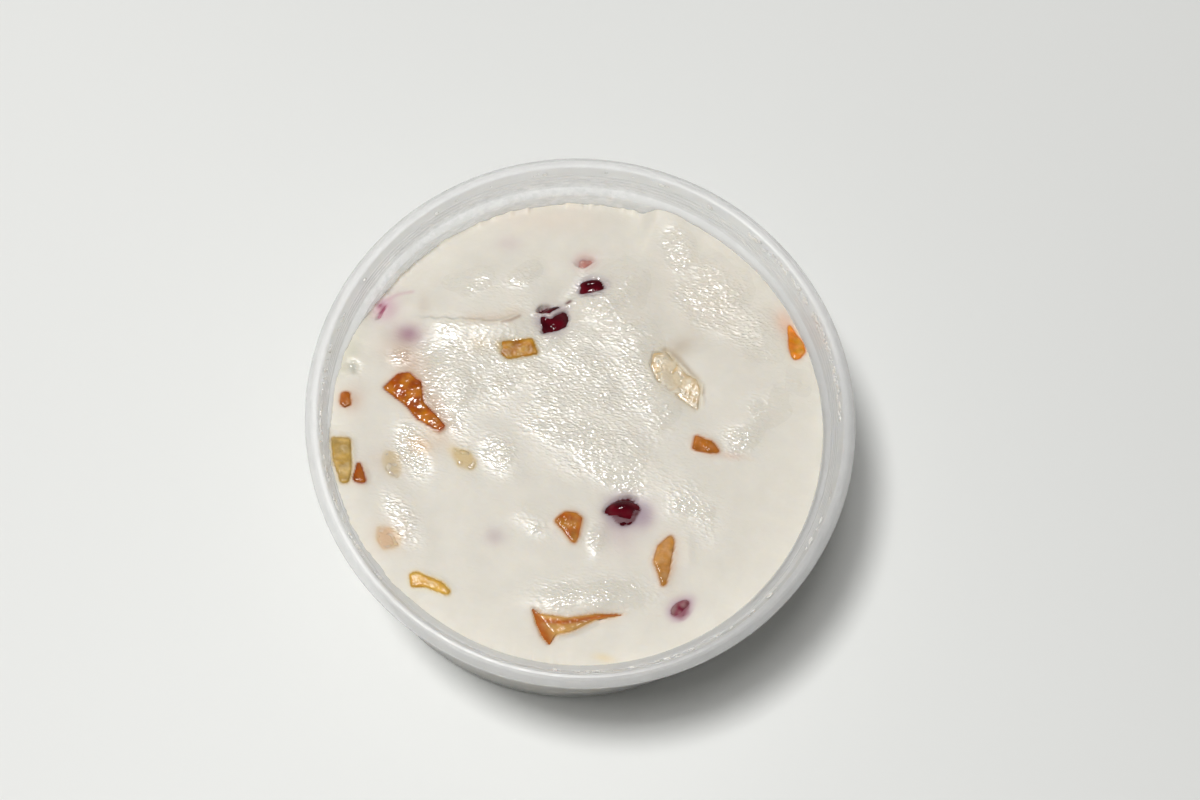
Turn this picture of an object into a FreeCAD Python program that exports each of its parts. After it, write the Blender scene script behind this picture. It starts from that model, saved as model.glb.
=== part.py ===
"""Open round plastic tub filled with thick fruit cream, in millimetres.

The tub is one injection-moulded wall of even thickness: a foot ring, a body
with draft, a stacking ledge, a collar, and a rim folded over into a skirt.
The cream fills it to just under the ledge. Its top is one surface worked out
by level(), with the folds, mounds and hollows a spoon leaves, and each piece
of fruit sits in a pocket cut to its own form.

Origin at the middle of the foot's resting plane, +Z up, +Y to the back.
"""
import FreeCAD, Part
import math
import os

from FreeCAD import Vector

# ---------------------------------------------------------------- tub ------
TUB_HEIGHT = 57.0
WALL = 0.8                 # thickness of body, collar and floor
BODY_BASE_R = 51.4         # outside of the body, carried down to the foot plane
BODY_TOP_R = 53.3          # outside of the body just below the ledge
LEDGE_LOW = 48.0           # height of the outside corner under the ledge
LEDGE_RISE = 1.2
LEDGE_WIDTH = 1.5          # how far the ledge steps out
COLLAR_TOP_R = 56.05       # outside of the collar where it meets the rim
BASE_CORNER = 4.0          # outside radius between body and foot
FOOT_WIDTH = 1.7           # flat that the tub stands on
FOOT_LIFT = 1.0            # how far the base panel is clear of the ground
FOOT_BEVEL = 0.8
RIM_R = 58.5               # widest point, at the skirt
RIM_CREST_IN = 55.8        # flat crest of the rim, from here ...
RIM_CREST_OUT = 57.1       # ... to here
SKIRT_TOP = 55.3           # height where the rim's slope becomes the skirt
SKIRT_BOTTOM = 53.9
SKIRT_WALL = 0.75
RIM_UNDER = 56.15          # underside of the rim's crest
GATE_R = 1.6               # injection point left in the middle of the base
GATE_TIP_R = 0.95
GATE_DEPTH = 0.35
COLLAR_RINGS = 4           # fine moulding rings round the inside of the collar
RING_LOW = 50.7
RING_PITCH = 1.15
RING_PROUD = 0.14
CREST_IN_ROUND = 0.55      # radii of the tub's corners
CREST_OUT_ROUND = 0.9
SKIRT_ROUND = 0.6
FOLD_ROUND = 0.3           # under the rim
LEDGE_ROUND = 0.4
FLOOR_ROUND = 0.5
FOLD_SET_IN = 0.25         # how far the hollow under the rim lies inside the crest

# -------------------------------------------------------------- cream ------
CREAM_AT_WALL = 48.0
CREAM_CROWN = 0.9          # the middle stands this much above the edge
CREAM_GRID = 73            # points each way on the top surface
CREAM_HALF = 55.0          # half of the square that the surface is worked on

# The back left was scooped lower. Angles are clockwise from +Y, in degrees.
SCOOP_DEPTH = 4.6
SCOOP_REACH = 7.5
SCOOP_FROM, SCOOP_SOFT = -80.0, 14.0
SCOOP_TO, SCOOP_SHARP = 9.0, 5.0

# On the left the cream was pushed up onto the ledge.
HEAP_RISE = 1.3
HEAP_REACH = 9.0
HEAP_MIDDLE, HEAP_SPREAD = -113.0, 34.0

# Shallow strokes of the spoon across the top, overlapping: pitch, depth, turn.
STROKES = [(7.4, 0.10, -52.0), (5.3, 0.06, -40.0), (11.0, 0.10, -66.0)]
STROKE_CALM = 12.0         # they fade out this near the wall
# Slow sideways wander of the strokes along x and y: amount, length.
WANDER_X = (1.4, 69.0)
WANDER_Y = (1.1, 50.0)
SLOPE_STEP = 1.5           # reach over which the surface's slope is taken

# Mounds and hollows: centre x, y, half length, half width, turn, rise.
MOUNDS = [
    (-42.0, 18.0, 6.5, 5.0, 20, 1.1),      # over the seed at the left wall
    (31.0, 16.5, 13.0, 7.5, 5, 1.15),      # smooth lobe at the right
    (8.0, -38.6, 13.0, 2.2, 12, 1.0),      # lip behind the caramel wedge
    (27.6, -23.0, 1.3, 2.8, 15, 0.7),      # small ridge by the long piece
    (-8.5, -24.0, 9.0, 4.0, -8, 0.35),     # low swell at the front
    (-30.0, 6.0, 5.5, 11.0, 25, 0.6),      # wrinkled swell inside the big piece
    (10.4, 50.6, 3.6, 2.6, 0, 0.75),       # blob where the scoop ends
    (4.0, 27.0, 7.0, 9.0, 0, 0.35),        # swell right of the seeds
    (-8.5, 27.4, 7.5, 3.6, 55, -1.3),      # valley with two seeds
    (-6.0, 36.5, 2.2, 1.1, 20, -1.1),      # small tear
    (18.5, 14.3, 7.5, 4.0, -38, -1.2),     # hollow of the pale piece
    (21.5, 22.6, 5.0, 1.6, 28, -0.6),      # crease above the lobe
    (12.6, -17.4, 6.0, 4.4, 0, -0.7),      # pocket of the large seed
    (-50.8, 2.4, 1.6, 1.3, 0, -1.6),       # notch at the left wall
    (7.5, -45.0, 10.0, 2.4, 14, -0.7),     # slope in front of the caramel wedge
    (-33.5, -14.0, 7.0, 3.0, -50, -0.35),  # dip between the pale pieces
    (42.5, 28.0, 5.5, 3.0, -60, -0.35),    # pocket at the right
]

# Folds: the crest as points from left to right, rise on its near side, how far
# that rise reaches, and the width of the sharp drop on its far side.
FOLDS = [
    ([(-41.0, 15.5), (-30.0, 17.2), (-22.8, 18.1), (-18.5, 20.3), (-16.8, 23.0)], 1.1, 4.5, 0.9),
    ([(-8.8, 26.0), (-6.2, 27.4), (-3.6, 28.2), (0.4, 29.0), (3.5, 31.0)], 0.7, 3.0, 0.9),
    ([(15.0, 20.0), (20.4, 15.8), (24.0, 13.6), (25.0, 7.5)], 0.6, 3.5, 0.8),
]
FOLD_END_FADE = 5.0

# -------------------------------------------------------------- fruit ------
CHUNK_PROUD = 0.35         # a cut piece stands this much out of the cream
CHUNK_DRAFT = 0.86         # size of a piece's foot against its top
CHUNK_ROUND = 0.45
POCKET_LIFT = 2.5          # a piece's pocket is open above it by this much
SEED_SIDES = 5
SEED_FLAT = 0.10           # how strongly the sides of a seed are flattened
SEED_RINGS = 9
SEED_TIP = 0.03            # share of the length left off each tip
SEED_LOPSIDED = 0.85       # below 1, the widest place moves towards the blunt end
SEED_FULLNESS = 0.62       # below 1, the ends are blunter

# Cut pieces: name, depth, extra slope along x, corners in plan.
CHUNKS = [
    ("amber_chunk_1", 7.0, 0.0,
     [(-43.5, -0.9), (-40.8, 3.0), (-38.2, 3.7), (-35.2, 2.0), (-33.9, -2.1), (-28.0, -6.6), (-28.9, -8.4),
      (-34.4, -6.4), (-38.3, -3.4)]),
    ("amber_chunk_2", 4.5, 0.0,
     [(-51.6, -3.7), (-49.7, -3.3), (-48.7, -6.2), (-50.1, -7.3), (-51.4, -6.3)]),
    ("amber_chunk_3", 5.0, 0.10,
     [(-45.0, -17.6), (-43.9, -18.6), (-41.8, -22.4), (-43.9, -22.8), (-45.0, -22.3)]),
    ("amber_chunk_4", 6.0, 0.0,
     [(-1.6, -22.5), (0.4, -20.0), (2.9, -19.5), (4.5, -20.4), (4.6, -24.6), (3.7, -26.8), (1.4, -24.8)]),
    ("amber_chunk_5", 5.5, -0.10,
     [(23.6, -20.0), (24.6, -21.4), (24.7, -30.7), (23.7, -32.3), (22.0, -28.8), (20.8, -26.8),
      (21.0, -23.4)]),
    ("amber_chunk_6", 6.0, 0.0,
     [(39.7, 33.2), (41.2, 31.2), (44.6, 27.8), (45.3, 26.0), (44.3, 24.2), (42.8, 23.4), (41.3, 26.0),
      (40.6, 29.3)]),
    ("amber_chunk_7", 5.0, 0.0,
     [(24.6, 2.4), (28.6, 1.8), (31.0, -0.4), (28.6, -1.2), (24.3, -0.9)]),
    ("tan_chunk_1", 5.5, 0.0,
     [(-21.7, 14.3), (-18.8, 15.0), (-13.7, 16.5), (-11.6, 13.2), (-18.2, 10.6), (-20.2, 11.8)]),
    ("tan_chunk_2", 6.5, 0.0,
     [(-51.6, -13.9), (-47.3, -13.3), (-45.5, -20.0), (-45.6, -23.3), (-47.2, -23.7), (-50.0, -19.0)]),
    ("tan_chunk_3", 5.0, 0.0,
     [(-37.8, -31.0), (-34.6, -30.7), (-32.1, -32.3), (-32.3, -34.3), (-35.4, -35.8), (-37.4, -33.8)]),
    ("yellow_chunk_1", 4.0, 0.0,
     [(-29.2, -39.6), (-27.6, -38.8), (-21.7, -40.0), (-19.5, -41.6), (-20.1, -42.7), (-25.0, -41.9),
      (-28.2, -42.5)]),
    ("pale_chunk_1", 6.5, 0.0,
     [(12.3, 19.0), (15.2, 19.8), (20.4, 15.8), (22.9, 15.0), (24.2, 13.1), (24.7, 7.5), (20.0, 9.7),
      (14.3, 12.8), (12.1, 16.0)]),
    ("pale_chunk_2", 5.0, 0.0,
     [(-25.8, -10.6), (-22.0, -11.0), (-20.0, -13.0), (-20.2, -15.0), (-23.5, -15.0), (-25.2, -13.0)]),
    ("pale_chunk_3", 5.0, 0.0,
     [(-40.0, -14.5), (-37.0, -14.3), (-35.5, -17.0), (-35.5, -20.0), (-38.0, -19.5), (-40.0, -17.0)]),
]

# The caramel wedge: a narrow steep face on the left and a long flat one on the
# right meet in a ridge that runs from (x, y) to (x, y).
WEDGE_DEPTH = 7.0
WEDGE_OUTLINE = [(-2.6, -41.6), (-0.6, -42.6), (5.4, -42.2), (11.1, -40.2), (18.8, -38.6),
                 (11.1, -41.6), (7.1, -44.7), (3.6, -46.3), (2.8, -48.6), (0.6, -47.0), (-1.2, -44.8)]
WEDGE_RIDGE = [(-0.6, -42.8), (3.5, -46.4)]
WEDGE_LEFT_FALL = 0.75     # fall per millimetre away from the ridge
WEDGE_RIGHT_FALL = 0.02

# Seeds: name, centre x, y, length, width, turn, how much stands proud.
SEEDS = [
    ("red_seed_1", -3.2, 31.1, 8.4, 5.2, 20, 0.75),
    ("red_seed_2", -10.2, 21.9, 9.2, 7.4, 62, 1.5),
    ("red_seed_3", -46.9, 17.6, 7.0, 5.0, 72, 0.55),
    ("red_seed_4", 13.2, -17.2, 10.4, 7.6, 15, 1.3),
    ("red_seed_5", 28.5, -35.4, 7.6, 4.8, 50, 0.55),
    ("red_seed_6", -5.9, 36.4, 6.0, 4.2, 15, 0.45),
]


# ------------------------------------------------------------ outlines -----
def rounded_outline(corners):
    """Closed wire in the XZ plane through (r, z, radius) corners, each rounded."""
    count = len(corners)
    cuts = []
    for i in range(count):
        r, z, radius = corners[i]
        here = Vector(r, 0, z)
        before = Vector(corners[i - 1][0], 0, corners[i - 1][1]) - here
        after = Vector(corners[(i + 1) % count][0], 0, corners[(i + 1) % count][1]) - here
        before.normalize()
        after.normalize()
        if radius == 0:
            cuts.append((here, None, here))
            continue
        half_angle = before.getAngle(after) / 2
        back_off = radius / math.tan(half_angle)
        bisector = before + after
        bisector.normalize()
        middle = here + bisector * (radius / math.sin(half_angle) - radius)
        cuts.append((here + before * back_off, middle, here + after * back_off))
    edges = []
    for i in range(count):
        start, middle, end = cuts[i]
        if middle is not None:
            edges.append(Part.Arc(start, middle, end).toShape())
        following = cuts[(i + 1) % count][0]
        if end.distanceToPoint(following) > 1e-6:
            edges.append(Part.LineSegment(end, following).toShape())
    return Part.Wire(edges)


def turned(corners):
    """Solid of revolution about Z of a rounded outline."""
    face = Part.Face(rounded_outline(corners))
    return face.revolve(Vector(0, 0, 0), Vector(0, 0, 1), 360)


def body_r(z):
    """Outside radius of the drafted body at height z."""
    return BODY_BASE_R + (BODY_TOP_R - BODY_BASE_R) * z / LEDGE_LOW


def collar_r(z):
    """Outside radius of the collar at height z."""
    low = LEDGE_LOW + LEDGE_RISE
    foot = BODY_TOP_R + LEDGE_WIDTH
    return foot + (COLLAR_TOP_R - foot) * (z - low) / (RIM_UNDER - low)


def inner_corners():
    """Inside of the tub from the middle of the floor up to the rim's crest."""
    foot_in = BODY_BASE_R - BASE_CORNER - FOOT_WIDTH
    floor = FOOT_LIFT + WALL
    ledge_low = LEDGE_LOW + WALL / 2
    corners = [(0, floor, 0),
               (foot_in - FOOT_BEVEL, floor, FLOOR_ROUND),
               (foot_in, WALL, FLOOR_ROUND),
               (body_r(WALL) - WALL, WALL, BASE_CORNER - WALL),
               (body_r(ledge_low) - WALL, ledge_low, LEDGE_ROUND),
               (body_r(ledge_low) - WALL + LEDGE_WIDTH, ledge_low + LEDGE_RISE, LEDGE_ROUND)]
    for k in range(COLLAR_RINGS):
        z = RING_LOW + k * RING_PITCH
        corners += [(collar_r(z) - WALL, z, 0),
                    (collar_r(z + RING_PITCH / 4) - WALL - RING_PROUD, z + RING_PITCH / 4, 0),
                    (collar_r(z + RING_PITCH / 2) - WALL, z + RING_PITCH / 2, 0)]
    return corners


def make_tub():
    foot_out = BODY_BASE_R
    foot_in = foot_out - BASE_CORNER - FOOT_WIDTH
    ledge_top = LEDGE_LOW + LEDGE_RISE
    outside = [(RIM_CREST_IN, TUB_HEIGHT, CREST_IN_ROUND),
               (RIM_CREST_OUT, TUB_HEIGHT, CREST_OUT_ROUND),
               (RIM_R, SKIRT_TOP, SKIRT_ROUND),
               (RIM_R, SKIRT_BOTTOM, FOLD_ROUND),
               (RIM_R - SKIRT_WALL, SKIRT_BOTTOM, FOLD_ROUND),
               (RIM_R - SKIRT_WALL, SKIRT_TOP - FOLD_SET_IN, FOLD_ROUND),
               (RIM_CREST_OUT - FOLD_SET_IN, RIM_UNDER, FOLD_ROUND),
               (collar_r(RIM_UNDER), RIM_UNDER, FOLD_ROUND),
               (collar_r(ledge_top), ledge_top, LEDGE_ROUND),
               (BODY_TOP_R, LEDGE_LOW, LEDGE_ROUND),
               (foot_out, 0, BASE_CORNER),
               (foot_in, 0, LEDGE_ROUND),
               (foot_in - FOOT_BEVEL, FOOT_LIFT, LEDGE_ROUND),
               (0, FOOT_LIFT, 0)]
    tub = turned(inner_corners() + outside)
    gate = Part.makeCone(GATE_R, GATE_TIP_R, GATE_DEPTH, Vector(0, 0, FOOT_LIFT), Vector(0, 0, -1))
    return tub.fuse(gate).removeSplitter()


def make_inside():
    """The space inside the tub, up to above the highest cream."""
    top = RING_LOW
    corners = inner_corners()[:-3 * COLLAR_RINGS]
    corners += [(collar_r(top) - WALL, top, 0), (0, top, 0)]
    return turned(corners)


# --------------------------------------------------------- cream's top -----
def smooth(t):
    t = min(1.0, max(0.0, t))
    return t * t * (3 - 2 * t)


def mound(x, y, centre_x, centre_y, half_length, half_width, turn, rise):
    angle = math.radians(turn)
    dx, dy = x - centre_x, y - centre_y
    along = dx * math.cos(angle) + dy * math.sin(angle)
    across = dy * math.cos(angle) - dx * math.sin(angle)
    return rise * math.exp(-(along / half_length) ** 2 - (across / half_width) ** 2)


def stroke(x, y, pitch, depth, turn):
    angle = math.radians(turn)
    across = y * math.cos(angle) - x * math.sin(angle)
    for place, (amount, length) in ((x, WANDER_X), (y, WANDER_Y)):
        across += amount * math.sin(2 * math.pi * place / length)
    return depth * math.sin(2 * math.pi * across / pitch)


def fold(x, y, crest, rise, reach, drop):
    """A lip that falls off sharply on its left, seen along the crest."""
    nearest = None
    walked = 0.0
    for (ax, ay), (bx, by) in zip(crest, crest[1:]):
        length = math.hypot(bx - ax, by - ay)
        ux, uy = (bx - ax) / length, (by - ay) / length
        along = (x - ax) * ux + (y - ay) * uy
        kept = min(length, max(0.0, along))
        dx, dy = x - ax - kept * ux, y - ay - kept * uy
        distance = math.hypot(dx, dy)
        if nearest is None or distance < nearest[0]:
            side = 1.0 if ux * dy - uy * dx < 0 else -1.0
            nearest = (distance, side, walked + kept)
        walked += length
    distance, side, place = nearest
    ends = smooth(place / FOLD_END_FADE) * smooth((walked - place) / FOLD_END_FADE)
    if side > 0:
        return rise * ends * math.exp(-(distance / reach) ** 2)
    return rise * ends * smooth(1 - distance / drop)


def level(x, y):
    """Height of the cream's surface."""
    r = math.hypot(x, y)
    inside_r = BODY_TOP_R - WALL
    from_wall = max(0.0, inside_r - r)
    azimuth = math.degrees(math.atan2(x, y))
    height = CREAM_AT_WALL + CREAM_CROWN * (1 - min(1.0, r / inside_r) ** 2)
    scoop = smooth((azimuth - SCOOP_FROM) / SCOOP_SOFT) * smooth((SCOOP_TO - azimuth) / SCOOP_SHARP)
    height -= SCOOP_DEPTH * scoop * math.exp(-(from_wall / SCOOP_REACH) ** 1.5)
    heap = math.exp(-((azimuth - HEAP_MIDDLE) / HEAP_SPREAD) ** 2)
    height += HEAP_RISE * heap * math.exp(-(from_wall / HEAP_REACH) ** 2)
    height += smooth(from_wall / STROKE_CALM) * sum(stroke(x, y, *shape) for shape in STROKES)
    height += sum(mound(x, y, *shape) for shape in MOUNDS)
    height += sum(fold(x, y, *shape) for shape in FOLDS)
    return height


def slope(x, y):
    return ((level(x + SLOPE_STEP, y) - level(x - SLOPE_STEP, y)) / (2 * SLOPE_STEP),
            (level(x, y + SLOPE_STEP) - level(x, y - SLOPE_STEP)) / (2 * SLOPE_STEP))


def make_cream_block():
    """Everything below the cream's surface, over a square larger than the tub."""
    places = [CREAM_HALF * (2 * i / (CREAM_GRID - 1) - 1) for i in range(CREAM_GRID)]
    surface = Part.BSplineSurface()
    surface.interpolate([[Vector(x, y, level(x, y)) for y in places] for x in places])
    return surface.toShape().extrude(Vector(0, 0, -TUB_HEIGHT))


# --------------------------------------------------------------- fruit -----
def plan_middle(corners):
    return (sum(x for x, y in corners) / len(corners),
            sum(y for x, y in corners) / len(corners))


def cut_block(corners, depth, lean=0.0, lift=0.0):
    """A cut piece: a flat top that follows the cream, on sides with draft.

    With a lift, the same sides carry on above the top by that much.
    """
    middle_x, middle_y = plan_middle(corners)
    top_z = level(middle_x, middle_y) + CHUNK_PROUD
    slope_x, slope_y = slope(middle_x, middle_y)
    slope_x += lean
    wires = []
    for rise, size in ((-depth, CHUNK_DRAFT), (lift, 1 + (1 - CHUNK_DRAFT) * lift / depth)):
        ring = []
        for x, y in corners:
            dx, dy = size * (x - middle_x), size * (y - middle_y)
            ring.append(Vector(middle_x + dx, middle_y + dy, top_z + rise + slope_x * dx + slope_y * dy))
        wires.append(Part.makePolygon(ring + ring[:1]))
    return Part.makeLoft(wires, True, True)


def make_chunk(depth, lean, corners):
    block = cut_block(corners, depth, lean)
    return block.makeFillet(CHUNK_ROUND, block.Edges)


def below(point, normal):
    """A large block whose top face passes through the point."""
    side = 4 * WEDGE_DEPTH + TUB_HEIGHT
    block = Part.makeBox(side, side, side, Vector(-side / 2, -side / 2, -side))
    block.Placement = FreeCAD.Placement(point, FreeCAD.Rotation(Vector(0, 0, 1), normal))
    return block


def make_wedge():
    (near_x, near_y), (far_x, far_y) = WEDGE_RIDGE
    length = math.hypot(far_x - near_x, far_y - near_y)
    left_x, left_y = (far_y - near_y) / length, -(far_x - near_x) / length
    ridge = Vector(near_x, near_y, level(near_x, near_y) + CHUNK_PROUD)
    wedge = cut_block(WEDGE_OUTLINE, WEDGE_DEPTH, lift=POCKET_LIFT)
    for side, fall in ((1, WEDGE_LEFT_FALL), (-1, WEDGE_RIGHT_FALL)):
        wedge = wedge.common(below(ridge, Vector(side * fall * left_x, side * fall * left_y, 1)))
    return wedge


def seed_section(along, radius, width, height):
    """One ring of a seed: a circle flattened into a few blunt sides."""
    points = []
    count = 4 * SEED_SIDES
    for i in range(count):
        angle = 2 * math.pi * i / count
        r = radius * (1 + SEED_FLAT * math.cos(SEED_SIDES * angle))
        points.append(Vector(along, r * width * math.cos(angle), r * height * math.sin(angle)))
    ring = Part.BSplineCurve()
    ring.interpolate(points, PeriodicFlag=True)
    return Part.Wire(ring.toShape())


def make_seed(x, y, length, width, turn, proud):
    """A drop-shaped seed lying on its side, blunt at one end."""
    rings = []
    for k in range(SEED_RINGS):
        t = SEED_TIP + (1 - 2 * SEED_TIP) * k / (SEED_RINGS - 1)
        radius = math.sin(math.pi * t ** SEED_LOPSIDED) ** SEED_FULLNESS
        rings.append(seed_section(length * (t - 0.5), radius, width / 2, width / 2))
    seed = Part.makeLoft(rings, True)
    slope_x, slope_y = slope(x, y)
    seed.rotate(Vector(0, 0, 0), Vector(0, 0, 1), turn)
    seed.rotate(Vector(0, 0, 0), Vector(0, 1, 0), -math.degrees(math.atan(slope_x)))
    seed.rotate(Vector(0, 0, 0), Vector(1, 0, 0), math.degrees(math.atan(slope_y)))
    seed.translate(Vector(x, y, level(x, y) + proud - width / 2))
    return seed


# --------------------------------------------------------------- parts -----
def make_parts():
    inside = make_inside()
    fruit = {}
    pockets = [cut_block(WEDGE_OUTLINE, WEDGE_DEPTH, lift=POCKET_LIFT)]
    for name, depth, lean, corners in CHUNKS:
        fruit[name] = make_chunk(depth, lean, corners)
        pockets.append(cut_block(corners, depth, lean, POCKET_LIFT))
    fruit["caramel_wedge"] = make_wedge()
    for name, x, y, length, width, turn, proud in SEEDS:
        fruit[name] = make_seed(x, y, length, width, turn, proud)
        pockets.append(fruit[name])
    for name in fruit:
        fruit[name] = fruit[name].common(inside)
    cream = inside.common(make_cream_block()).cut(pockets)
    parts = {"tub": make_tub(), "cream": cream}
    parts.update(fruit)
    return parts


def only_solid(name, shape):
    """The single solid of a shape, loose slivers left out."""
    solids = sorted(shape.Solids, key=lambda solid: solid.Volume)
    biggest = solids[-1]
    loose = sum(solid.Volume for solid in solids[:-1])
    print("%-16s %10.2f mm3  valid %s  loose %.3f" % (name, biggest.Volume, biggest.isValid(), loose))
    return biggest


os.makedirs("parts", exist_ok=True)
for part_name, part_shape in make_parts().items():
    only_solid(part_name, part_shape).exportStep("parts/%s.step" % part_name)
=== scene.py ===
"""Looks of an open round tub of fruit cream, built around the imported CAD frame.

Shapes are worked out in millimetres, in the row's frame (origin under the
middle of the tub, +Z up, +Y to the back), and become metres as meshes are made.
"""
import math

import bpy
import bmesh
import numpy as np
from mathutils import Matrix, Vector, noise as point_noise
from mathutils.bvhtree import BVHTree


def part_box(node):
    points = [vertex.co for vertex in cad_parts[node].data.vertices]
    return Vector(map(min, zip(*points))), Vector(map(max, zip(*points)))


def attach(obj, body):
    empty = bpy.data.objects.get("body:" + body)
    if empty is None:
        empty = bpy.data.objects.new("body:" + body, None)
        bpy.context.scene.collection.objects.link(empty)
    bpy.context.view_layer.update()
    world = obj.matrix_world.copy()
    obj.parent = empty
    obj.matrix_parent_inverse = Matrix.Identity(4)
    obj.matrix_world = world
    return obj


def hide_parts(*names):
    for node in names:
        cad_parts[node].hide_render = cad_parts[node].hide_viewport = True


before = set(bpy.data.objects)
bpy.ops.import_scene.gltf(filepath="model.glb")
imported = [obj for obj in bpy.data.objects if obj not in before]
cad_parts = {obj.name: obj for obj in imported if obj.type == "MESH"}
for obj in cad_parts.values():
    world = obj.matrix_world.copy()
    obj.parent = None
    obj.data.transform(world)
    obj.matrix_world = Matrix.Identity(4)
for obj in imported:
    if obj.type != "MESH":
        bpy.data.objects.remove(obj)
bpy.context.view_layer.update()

MM = 0.001

# ------------------------------------------------- tub, as in the CAD ------
WALL = 0.8
BODY_BASE_R = 51.4
BODY_TOP_R = 53.3
LEDGE_LOW = 48.0
LEDGE_RISE = 1.2
LEDGE_WIDTH = 1.5
COLLAR_TOP_R = 56.05
RIM_UNDER = 56.15
BASE_CORNER = 4.0
FOOT_WIDTH = 1.7
FOOT_LIFT = 1.0
FOOT_BEVEL = 0.8
TUB_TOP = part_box("tub")[1].z / MM
INTO_WALL = 0.25           # how far the cream reaches into the wall
INTO_FLOOR = 0.1           # and into the floor

# ------------------------------------------------ cream, as in the CAD -----
CREAM_AT_WALL = 48.0
CREAM_CROWN = 0.9
SCOOP_DEPTH = 4.6
SCOOP_REACH = 7.5
SCOOP_FROM, SCOOP_SOFT = -80.0, 14.0
SCOOP_TO, SCOOP_SHARP = 9.0, 5.0
HEAP_RISE = 1.3
HEAP_REACH = 9.0
HEAP_MIDDLE, HEAP_SPREAD = -113.0, 34.0
STROKES = [(7.4, 0.10, -52.0), (5.3, 0.06, -40.0), (11.0, 0.10, -66.0)]
STROKE_CALM = 12.0
WANDER_X = (1.4, 69.0)
WANDER_Y = (1.1, 50.0)
MOUNDS = [
    (-42.0, 18.0, 6.5, 5.0, 20, 1.1),
    (31.0, 16.5, 13.0, 7.5, 5, 0.8),
    (8.0, -38.6, 13.0, 3.0, 12, 0.8),
    (27.6, -23.0, 1.3, 2.8, 15, 0.35),
    (-8.5, -24.0, 9.0, 4.0, -8, 0.2),
    (-30.0, 6.0, 5.5, 11.0, 25, 0.6),
    (10.4, 50.6, 3.6, 2.6, 0, 0.75),
    (4.0, 27.0, 7.0, 9.0, 0, 0.35),
    (-8.5, 27.4, 7.5, 3.6, 55, -1.3),
    (-6.0, 36.5, 2.2, 1.1, 20, -1.1),
    (18.5, 14.3, 7.5, 4.0, -38, -1.2),
    (21.5, 22.6, 5.0, 1.6, 28, -0.6),
    (12.6, -17.4, 6.0, 4.4, 0, -0.7),
    (-50.8, 2.4, 1.6, 1.3, 0, -0.7),
    (7.5, -45.0, 10.0, 2.4, 14, -0.4),
    (-33.5, -14.0, 7.0, 3.0, -50, -0.35),
    (42.5, 28.0, 5.5, 3.0, -60, -0.35),
]
FOLDS = [
    ([(-41.0, 15.5), (-30.0, 17.2), (-22.8, 18.1), (-18.5, 20.3), (-16.8, 23.0)], 1.1, 4.5, 0.9),
    ([(-8.8, 26.0), (-6.2, 27.4), (-3.6, 28.2), (0.4, 29.0), (3.5, 31.0)], 0.7, 3.0, 0.9),
    ([(15.0, 20.0), (20.4, 15.8), (24.0, 13.6), (25.0, 7.5)], 0.6, 3.5, 0.8),
]
FOLD_END_FADE = 5.0
FOLD_WOBBLE, WOBBLE_LENGTH = 0.35, 1.9

# ------------------------------------------------------- cream's looks -----
CREAM = (0.723, 0.692, 0.622)
CREAM_COLUMNS = 286        # quads across the cream's top
WET_ABOVE = 42.0           # its side is dull
WET_GAIN, WET_PATCH = 1.25, 5.0
BARE_DIP = 0.10            # how far the cream stays under the top of bare fruit
LAP = 0.03                 # how far it laps over the edges of fruit
STROKE_SHARE = 0.12        # how much of the spoon's strokes the wrinkles leave
WRINKLE_TURN = -54.0
RIDGE_RISE, RIDGE_LENGTH, RIDGE_PITCH = 0.06, 3.6, 1.9
GRAIN_RISE, GRAIN_SIZE = 0.03, 1.5
SWELLS = [(0.025, 3.4, 9), (0.08, 9.0, 11)]        # rise, length, seed
FACING_RISE = 0.42         # each wrinkled patch is a swell, highest at the back right
FACING, FACING_SHIFT = (0.49, 0.87), 0.55
SIDE_RINGS = 9             # rows of quads down the cream's side
SHORE_RISE = 0.22          # unevenness along the wall
SHORE_REACH = 1.6
SHORE_WAVES = [(1, 9), (0.5, 17), (0.4, 43)]       # share, how often in a radian
CLIMB = 1.2                # how far films of it climb the wall of the scoop
CLIMB_REACH = 1.1
# Where the surface is wrinkled and wet: x, y, half length, half width, turn, strength.
WRINKLED = [
    (-29.0, 4.0, 6.5, 12.0, 15, 0.65),
    (-21.0, 8.0, 8.0, 9.0, 30, 0.6),
    (0.5, 28.0, 10.0, 6.0, 60, 1.5),
    (-10.5, 16.5, 5.5, 3.0, -50, 0.8),
    (9.0, 19.5, 7.0, 5.0, -62, 1.6),
    (14.5, 8.5, 7.0, 4.5, -62, 1.4),
    (24.0, 35.5, 8.0, 7.0, -20, 1.8),
    (34.5, 28.0, 6.0, 5.0, -30, 1.6),
    (14.0, 43.0, 5.0, 3.6, -60, 1.4),
    (-2.0, 8.0, 22.0, 13.0, -30, 0.5),
    (4.0, -5.0, 14.0, 6.0, -15, 0.75),
    (35.0, 4.0, 4.5, 3.5, 40, 0.7),
    (40.0, 12.0, 6.0, 4.5, 40, 0.5),
    (45.0, 20.0, 5.0, 4.0, 70, 0.5),
    (27.0, -14.0, 8.0, 5.0, -30, 0.4),
    (-34.0, -13.5, 6.0, 3.0, -55, 0.75),
    (-16.0, -10.5, 4.5, 3.5, -50, 0.75),
    (8.0, -25.0, 1.5, 3.5, 0, 1.0),
    (10.0, -36.5, 12.0, 3.5, 12, 0.65),
    (-6.0, -24.0, 4.0, 2.5, -10, 0.4),
    (-30.0, 27.0, 6.0, 3.0, 25, 0.7),
    (-19.0, 30.5, 5.0, 2.6, 40, 0.7),
    (-33.0, -28.0, 7.0, 3.0, -50, 0.45),
    (-50.8, 2.4, 2.5, 2.5, 0, 0.35),
    (-41.0, 7.0, 2.5, 2.5, 0, 0.5),
]


# ---------------------------------------------------------- mathematics ----
def smooth(t):
    t = np.clip(t, 0.0, 1.0)
    return t * t * (3 - 2 * t)


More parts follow.
